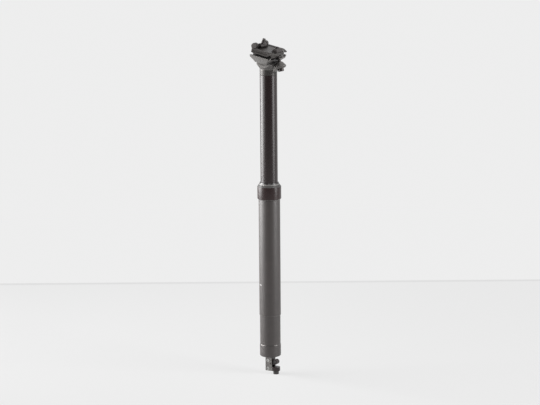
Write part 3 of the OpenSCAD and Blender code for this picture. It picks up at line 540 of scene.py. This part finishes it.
# Collar, with a greyer shoulder of painted sheen and a painted highlight along its lower edge
COLLAR_FOOT_R = COLLAR_R - 1.0
COLLAR_FOOT_EDGE = 0.3
COLLAR_FOOT_TOP = 1.1
COLLAR_ROUND = 0.8
COLLAR_SEAT = 13.4
COLLAR_IN = UPPER_R + 0.3
COLLAR_HIGHLIGHT_R = (NECK_R + 0.2, COLLAR_R - 0.3)
COLLAR_HIGHLIGHT_Z = (COLLAR_LOW - MARGIN, 0.75)
SHOULDER_LOW = 18.9
SHOULDER_EDGE = 0.25
SHOULDER_IN = WIPER_R + 0.45
SHOULDER_IN_EDGE = 0.15
SHOULDER_DROP = 0.1
SHOULDER_GREY_LOW = SHOULDER_LOW + 0.15
collar = stand_for(lathe("collar", [
    (NECK_R + FIT, COLLAR_LOW),
    (COLLAR_FOOT_R, COLLAR_LOW, COLLAR_FOOT_EDGE),
    (COLLAR_R, COLLAR_FOOT_TOP, COLLAR_ROUND),
    (COLLAR_R, SHOULDER_LOW, SHOULDER_EDGE),
    (SHOULDER_IN, COLLAR_TOP, SHOULDER_IN_EDGE),
    (WIPER_R + FIT, COLLAR_TOP - SHOULDER_DROP),
    (WIPER_R + FIT, WIPER_LOW),
    (COLLAR_IN, WIPER_LOW),
    (COLLAR_IN, COLLAR_SEAT),
    (NECK_R + FIT, COLLAR_SEAT)]), "seal_collar")
dress(collar, COLLAR_FINISH)
# Painted sheen on the shoulder that faces up
dress_band(collar, SHOULDER_SHEEN_FINISH, (SHOULDER_IN, COLLAR_R), (SHOULDER_GREY_LOW, COLLAR_TOP))
# Painted highlight along the collar's lower edge
dress_band(collar, HIGHLIGHT_FINISH, COLLAR_HIGHLIGHT_R, COLLAR_HIGHLIGHT_Z)

# Wiper, with a light rim above the collar
WIPER_IN = UPPER_R + 0.05
CASE_R = WIPER_R - 0.25
CASE_TOP = COLLAR_TOP + 1.4
CASE_EDGE = 0.1
CASE_LIGHT_R = (CASE_R - 0.05, WIPER_R + MARGIN)
CASE_LIGHT_Z = (COLLAR_TOP, CASE_TOP + 0.02)
LIP_FOOT_R = CASE_R - 0.2
LIP_FOOT_Z = CASE_TOP + 0.1
LIP_FOOT_EDGE = 0.05
LIP_R = WIPER_R - 1.3
LIP_ROUND = 0.4
LIP_EDGE = 0.1
wiper = stand_for(lathe("wiper", [
    (WIPER_IN, WIPER_LOW + FIT),
    (WIPER_R, WIPER_LOW + FIT),
    (WIPER_R, COLLAR_TOP, SHARP),
    (CASE_R, CASE_TOP, CASE_EDGE),
    (LIP_FOOT_R, LIP_FOOT_Z, LIP_FOOT_EDGE),
    (LIP_R, WIPER_TOP, LIP_ROUND),
    (WIPER_IN, WIPER_TOP, LIP_EDGE)]), "wiper_seal")
dress(wiper, LIP_FINISH)
dress_band(wiper, CASE_FINISH, CASE_LIGHT_R, CASE_LIGHT_Z)

# End cap, with a lighter, shinier lip around the foot of the tube: its shine reflects the lamps, its lighter tone
# is painted highlight
CAP_FOOT_R = CAP_R - 1.2
CAP_FOOT_EDGE = 0.5
CAP_FOOT_TOP = CAP_LOW + 1.2
CAP_ROUND = 0.6
CAP_SPIGOT_EDGE = 0.3
CAP_IN = CAP_R - 2.9
CAP_WEB_TOP = CAP_LOW + 5.5
RIM_LOW = TUBE_LOW - 0.2
RIM_TOP = TUBE_LOW + 0.8
RIM_R = RELIEF_R + 0.03
RIM_EDGE = 0.2
RIM_BAND_R = (RIM_R + 0.01, CAP_R)
end_cap = stand_for(lathe("end_cap", [
    (ROD_R, CAP_LOW),
    (CAP_FOOT_R, CAP_LOW, CAP_FOOT_EDGE),
    (CAP_R, CAP_FOOT_TOP, CAP_ROUND),
    (CAP_R, RIM_LOW, RIM_EDGE),
    (RIM_R, RIM_TOP, SHARP),
    (RIM_R, TUBE_LOW - FIT, SHARP),
    (BORE_R - FIT, TUBE_LOW - FIT, SHARP),
    (BORE_R - FIT, CAP_HIGH, CAP_SPIGOT_EDGE),
    (CAP_IN, CAP_HIGH, CAP_SPIGOT_EDGE),
    (CAP_IN, CAP_WEB_TOP),
    (ROD_R, CAP_WEB_TOP)]), "bottom_cap")
# Painted highlight on the cap's lip
dress_band(end_cap, RIM_HIGHLIGHT_FINISH, RIM_BAND_R, (RIM_LOW - MARGIN, RIM_TOP))

# Upper tube, turned down at its lower end
UPPER_IN = UPPER_R - 1.8
UPPER_FOOT_R = UPPER_R - 0.35
UPPER_FOOT_EDGE = 0.2
UPPER_FOOT_TOP = -26.0
UPPER_FULL = -25.5
UPPER_EDGE = 0.15
stand_for(lathe("inner_tube", [
    (UPPER_IN, UPPER_LOW),
    (UPPER_FOOT_R, UPPER_LOW, UPPER_FOOT_EDGE),
    (UPPER_FOOT_R, UPPER_FOOT_TOP),
    (UPPER_R, UPPER_FULL),
    (UPPER_R, UPPER_HIGH, UPPER_EDGE),
    (UPPER_IN, UPPER_HIGH)]), "upper_tube")

# Forged and milled pieces: node, name, voxel in millimetres and passes of rounding
FORGED = (
    ("head", "forged_head", 0.25, 4),
    ("lower_cradle", "rail_cradle", 0.22, 4),
    ("upper_clamp", "rail_clamp", 0.2, 4),
    ("actuator_bracket", "bracket", 0.15, 4),
    ("side_plate", "bracket_plate", 0.15, 4),
    ("release_lever", "lever_arm", 0.15, 4),
    ("cable_stop", "housing_stop", 0.15, 3),
    ("front_barrel_nut", "front_nut_bar", 0.15, 3),
    ("rear_barrel_nut", "rear_nut_bar", 0.15, 3),
    ("front_washer", "front_bolt_seat", 0.15, 2),
    ("rear_washer", "rear_bolt_seat", 0.15, 2),
)
forged = {node: softened(node, name, voxel, passes) for node, name, voxel, passes in FORGED}
# The cradle takes the lighter copy of the alloy: painted light on its side panel
dress(forged["lower_cradle"], CRADLE_LIT_FINISH)
dress(forged["upper_clamp"], CLAMP_FINISH)


def bolt_line(end):
    """Seat of a clamp bolt in metres, and the way from there to its nut."""
    seat = Vector(JOINTS[end + "_bolt_swing"]["pos_m"])
    nut = Vector(JOINTS[end + "_nut_turn"]["pos_m"])
    return seat, nut - seat


# Head: flows into fillets away from what it fits to, with a darker turned neck
TILT = Vector(JOINTS["saddle_tilt"]["pos_m"]) / MM
BOLT_LINES = {end: bolt_line(end) for end in ("front", "rear")}
SEAT_R = 15.12
FLOW_PASSES = 60
FLOW_HEIGHTS = (186.0, 188.0)
FLOW_SEAT_R = (SEAT_R + 0.3, SEAT_R + 2.0)
FLOW_OUTSIDE_R = (10.0, 11.5)
FLOW_BOLT_R = (5.4, 6.8)
NECK_BAND_R = (UPPER_R - 0.8, UPPER_R + 0.3)
NECK_BAND_Z = (UPPER_HIGH - 0.2, UPPER_HIGH + 8.0)


def forged_share(point):
    """Share of the flow on the head: none at the seat, the bolts, the tube joint or the inside."""
    share = between(point.z, *FLOW_HEIGHTS)
    share *= between(math.hypot(point.x, point.z - TILT.z), *FLOW_SEAT_R)
    share *= between(math.hypot(point.x, point.y), *FLOW_OUTSIDE_R)
    for seat, way in BOLT_LINES.values():
        along = way.normalized()
        offset = point - seat / MM
        share *= between((offset - along * offset.dot(along)).length, *FLOW_BOLT_R)
    return share


melted(forged["head"], FLOW_PASSES, forged_share)
dress_band(forged["head"], NECK_FINISH, NECK_BAND_R, NECK_BAND_Z)

# Side plate: dark on its rear strip and its foot
PLATE_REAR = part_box("side_plate")[0][0] + 0.9 * MM
PLATE_FRONT = 6.2 * MM
dress(forged["side_plate"], PLATE_FINISH)
dress_faces(forged["side_plate"], SLOT_MATERIALS["hard_black"],
            lambda centre: centre.x < PLATE_REAR or centre.x > PLATE_FRONT)

# Bolts and screws, in millimetres
SCREW_SIDES = 48
SCREW_SHARP = 40.0
HEX = 6
CHAMFER_SHARE = 0.1
FILLET_OUT = 0.25
FILLET_UP = 0.3
THREAD_ROWS = 8
THREAD_FLANK = 0.42
THREAD_MIDDLE = 0.5
RUNOUT_TURNS = 1.5
TIP_TAPER = 1.2
CLAMP_BOLT = {"head_r": 4.3, "head_len": 5.0, "socket_af": 4.0, "socket_depth": 3.0, "shank_r": 2.6,
              "thread_from": 9.0, "pitch": 0.8, "depth": 0.34}
PLATE_SCREW = {"head_r": 2.25, "head_len": 0.98, "socket_af": 2.0, "socket_depth": 0.8, "shank_r": 1.25,
               "thread_from": 0.8, "pitch": 0.45, "depth": 0.18}
PAST_NUT = {"front": 6.2, "rear": 11.0}


def thread_rings(shank_r, thread_from, length, pitch, depth):
    """Rings of a cut thread that runs out towards the head and tapers at its tip."""
    rows = int((length - thread_from) / pitch * THREAD_ROWS)
    rings = []
    for k in range(1, rows + 1):
        z = thread_from + (length - thread_from) * k / rows
        runout = min(1.0, (z - thread_from) / (pitch * RUNOUT_TURNS))
        taper = max(0.0, (z - (length - pitch)) / pitch) * depth * TIP_TAPER
        points = []
        for i in range(SCREW_SIDES):
            share = (z / pitch - i / SCREW_SIDES) % 1.0
            dip = depth * runout * max(0.0, 1.0 - abs(share - THREAD_MIDDLE) / THREAD_FLANK)
            points.append(on_circle(shank_r - max(dip, taper), FULL_TURN * i / SCREW_SIDES, z))
        rings.append(points)
    return rings


def socket_screw(name, length, head_r, head_len, socket_af, socket_depth, shank_r, thread_from, pitch, depth):
    """Screw with a hexagon socket: head below the origin, shank up Z, with a cut thread."""
    chamfer = head_len * CHAMFER_SHARE
    outline = [(head_r - chamfer, -head_len), (head_r, chamfer - head_len), (head_r, -chamfer / 2),
               (head_r - chamfer / 2, 0.0), (shank_r + FILLET_OUT, 0.0), (shank_r, FILLET_UP),
               (shank_r, thread_from)]
    rings = [ring(r, z, SCREW_SIDES) for r, z in outline]
    rings += thread_rings(shank_r, thread_from, length, pitch, depth)
    work = bmesh.new()
    rows = [vertices(work, points) for points in rings]
    skin(work, rows)
    work.faces.new(rows[-1])
    corner_r = socket_af / 2 / math.cos(math.pi / HEX)
    mouth = vertices(work, ring(corner_r, -head_len, HEX))
    floor = vertices(work, ring(corner_r, socket_depth - head_len, HEX))
    per_side = SCREW_SIDES // HEX
    for k in range(HEX):
        n = (k + 1) % HEX
        work.faces.new((mouth[k], mouth[n], floor[n], floor[k]))
        for i in range(per_side):
            first = rows[0][k * per_side + i]
            second = rows[0][(k * per_side + i + 1) % SCREW_SIDES]
            work.faces.new((first, second, mouth[k] if i < per_side // 2 else mouth[n]))
        middle = rows[0][k * per_side + per_side // 2]
        work.faces.new((middle, mouth[n], mouth[k]))
    work.faces.new(floor)
    return finished(name, work, SCREW_SHARP)


def place_along(obj, origin, direction):
    turn = Vector(direction).to_track_quat("Z", "Y").to_matrix().to_4x4()
    obj.data.transform(Matrix.Translation(Vector(origin)) @ turn)


for end, (seat, way) in BOLT_LINES.items():
    bolt = socket_screw(end + "_clamp_bolt", way.length / MM + PAST_NUT[end], **CLAMP_BOLT)
    place_along(bolt, seat, way)
    stand_for(bolt, end + "_bolt")

SIDEWAYS = (0.0, 1.0, 0.0)
screw_low, screw_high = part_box("plate_screws")
screw_x = (screw_low[0] + screw_high[0]) / 2
screw_y = screw_low[1] + PLATE_SCREW["head_len"] * MM
screw_len = (screw_high[1] - screw_low[1]) / MM - PLATE_SCREW["head_len"]
screw_in = PLATE_SCREW["head_r"] * MM
screws = []
for name, z in (("plate_screw", screw_low[2] + screw_in), ("plate_screw_low", screw_high[2] - screw_in)):
    screw = socket_screw(name, screw_len, **PLATE_SCREW)
    place_along(screw, (screw_x, screw_y, z), SIDEWAYS)
    screws.append(screw)
stand_for(screws[0], "plate_screws")
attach(screws[1], NODE_BODY["plate_screws"])
dress(screws[1], SLOT_MATERIALS[SUBPARTS["plate_screws"]])

# Pivot pin with dished ends: each step in from the radius, and in from the end, in millimetres
PIN_SIDES = 48
PIN_END = ((0.9, 0.15), (0.5, 0.0), (0.25, 0.0), (0.0, 0.25))
pin_low, pin_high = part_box("lever_pin")
pin_half = (pin_high[1] - pin_low[1]) / 2 / MM
pin_r = (pin_high[0] - pin_low[0]) / 2 / MM
pin_end = [(pin_r - inward, pin_half - back) for inward, back in PIN_END]
pin_outline = [(r, -z) for r, z in pin_end] + pin_end[::-1]
pivot = closed_skin("pivot_pin", [ring(r, z, PIN_SIDES) for r, z in pin_outline])
place_along(pivot, (pin_low + pin_high) / 2, SIDEWAYS)
stand_for(pivot, "lever_pin")

# Insertion line, printed on the lower tube
MARK_Z = -128.0
MARK_HALF = 0.55
MARK_AT = math.radians(-122.0)
MARK_WIDE = math.radians(20.0)
MARK_STEPS = 24
MARK_OUT = POST_R + 0.02
MARK_IN = POST_R - 0.05
MARK_SECTION = ((MARK_OUT, MARK_Z - MARK_HALF), (MARK_OUT, MARK_Z + MARK_HALF),
                (MARK_IN, MARK_Z + MARK_HALF), (MARK_IN, MARK_Z - MARK_HALF))


def make_mark():
    turns = [MARK_AT + MARK_WIDE * (i / MARK_STEPS - 0.5) for i in range(MARK_STEPS + 1)]
    obj = closed_skin("insertion_line", [[on_circle(r, turn, z) for r, z in MARK_SECTION] for turn in turns])
    dress(obj, MARK_FINISH)
    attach(obj, "outer_post")


make_mark()

# Stage: a floor and, past a thin seam behind the part, a paler one. Metres along the camera's view
FLOOR_Z = CAD_BOX[0][2]
FLOOR_HALF = 1.4
FLOOR_NEAR = -2.0
FLOOR_FAR = 6.0
SEAM_AT = 0.6176
SEAM_WIDE = 0.0125
SEAM_LIFT = 0.3 * MM

# The floor takes light near the part, and farther out glows by as much as that light gave
LIT_NEAR = 0.45
LIT_FAR = 1.3
LIT_LEVEL = 0.9
DIM_REACH = 0.4

# Name, start, end and lift of each piece, its colour, its glow, and how much dimmer it is on the left
STAGE = (
    ("floor", FLOOR_NEAR, SEAM_AT, 0.0, 0.18, 0.67, 0.05),
    ("far_floor", SEAM_AT, FLOOR_FAR, 0.0, 0.01, 0.843, 0.0),
    ("seam", SEAM_AT - SEAM_WIDE, SEAM_AT, SEAM_LIFT, 0.18, 0.6, 0.05),
)


def stage_finish(name, colour, glow, dim):
    """Takes shadows, and glows where it is seen, without lighting the part."""
    graph = Graph(name)
    place = graph.add("ShaderNodeTexCoord").outputs["Object"]
    away = graph.number("ShaderNodeVectorMath", "LENGTH", place)
    lit = graph.ranged(away, (LIT_NEAR, colour), (LIT_FAR, 0.0))
    unlit = graph.ranged(away, (LIT_NEAR, 0.0), (LIT_FAR, colour * LIT_LEVEL))
    sideways = graph.number("ShaderNodeVectorMath", "DOT_PRODUCT", place, ACROSS)
    evened = graph.ranged(sideways, (-DIM_REACH, glow - dim), (0.0, glow))
    level = graph.number("ShaderNodeMath", "ADD", evened, unlit)
    path = graph.add("ShaderNodeLightPath")
    seen = graph.number("ShaderNodeMath", "ADD", path.outputs["Is Camera Ray"], mirrored_rays(graph, path))
    strength = graph.number("ShaderNodeMath", "MULTIPLY", seen, level)
    diffuse = graph.add("ShaderNodeBsdfDiffuse", Color=lit)
    light = graph.add("ShaderNodeEmission", Color=WHITE, Strength=strength)
    both = graph.add("ShaderNodeAddShader")
    graph.feed(both.inputs[0], diffuse.outputs["BSDF"])
    graph.feed(both.inputs[1], light.outputs["Emission"])
    graph.show(both.outputs["Shader"])
    graph.material.cycles.emission_sampling = "NONE"
    return graph.material


def make_stage():
    for name, start, end, lift, colour, glow, dim in STAGE:
        corners = ((-FLOOR_HALF, start), (FLOOR_HALF, start), (FLOOR_HALF, end), (-FLOOR_HALF, end))
        height = Vector((0.0, 0.0, FLOOR_Z + lift))
        points = [ACROSS * side + HEADING * along + height for side, along in corners]
        mesh = bpy.data.meshes.new(name)
        mesh.from_pydata(points, [], [range(len(points))])
        obj = add_object(name, mesh)
        dress(obj, stage_finish(name, colour, glow, dim))


make_stage()

# Soft boxes: name, angle from the camera in degrees, distance, height, width, length and power
SOFT_BOXES = (
    ("left_box", -102.0, 1.5, 0.1, 1.2, 1.8, 66.0),
    ("left_fill", -66.0, 2.0, 0.4, 0.9, 1.4, 11.0),
    ("right_box", 66.0, 1.8, 0.5, 0.9, 2.6, 36.0),
    ("front_box", 5.0, 1.8, 2.3, 2.0, 1.2, 10.0),
)


def make_lights():
    for name, angle, distance, height, size_x, size_y, power in SOFT_BOXES:
        data = bpy.data.lights.new(name, "AREA")
        data.shape = "RECTANGLE"
        data.size = size_x
        data.size_y = size_y
        data.energy = power
        obj = add_object(name, data)
        place = station(angle, distance, height)
        aim = (-place).to_track_quat("-Z", "Y")
        obj.matrix_world = Matrix.Translation(place) @ aim.to_matrix().to_4x4()


make_lights()

# Surroundings: pale where they are seen, darker in reflections of the room in front, faint as a light
ROOM_LIGHT = 0.1
ROOM_PALE = 0.85
FRONT_START = 0.2
FRONT_FULL = 0.6


def make_world():
    graph = Graph("studio", world=True)
    direction = graph.add("ShaderNodeTexCoord").outputs["Generated"]
    frontal = graph.number("ShaderNodeVectorMath", "DOT_PRODUCT", direction, -HEADING)
    behind = graph.ranged(frontal, (FRONT_START, 1.0), (FRONT_FULL, 0.0))
    path = graph.add("ShaderNodeLightPath")
    seen = graph.number("ShaderNodeMath", "MULTIPLY_ADD", mirrored_rays(graph, path), behind,
                        path.outputs["Is Camera Ray"])
    strength = graph.number("ShaderNodeMath", "MULTIPLY_ADD", seen, ROOM_PALE - ROOM_LIGHT, ROOM_LIGHT)
    sky = graph.add("ShaderNodeBackground", Color=WHITE, Strength=strength)
    graph.show(sky.outputs["Background"])
    graph.material.cycles.sampling_method = "NONE"
    bpy.context.scene.world = graph.material


make_world()

scene = bpy.context.scene
scene.view_settings.view_transform = "Standard"
make_camera()
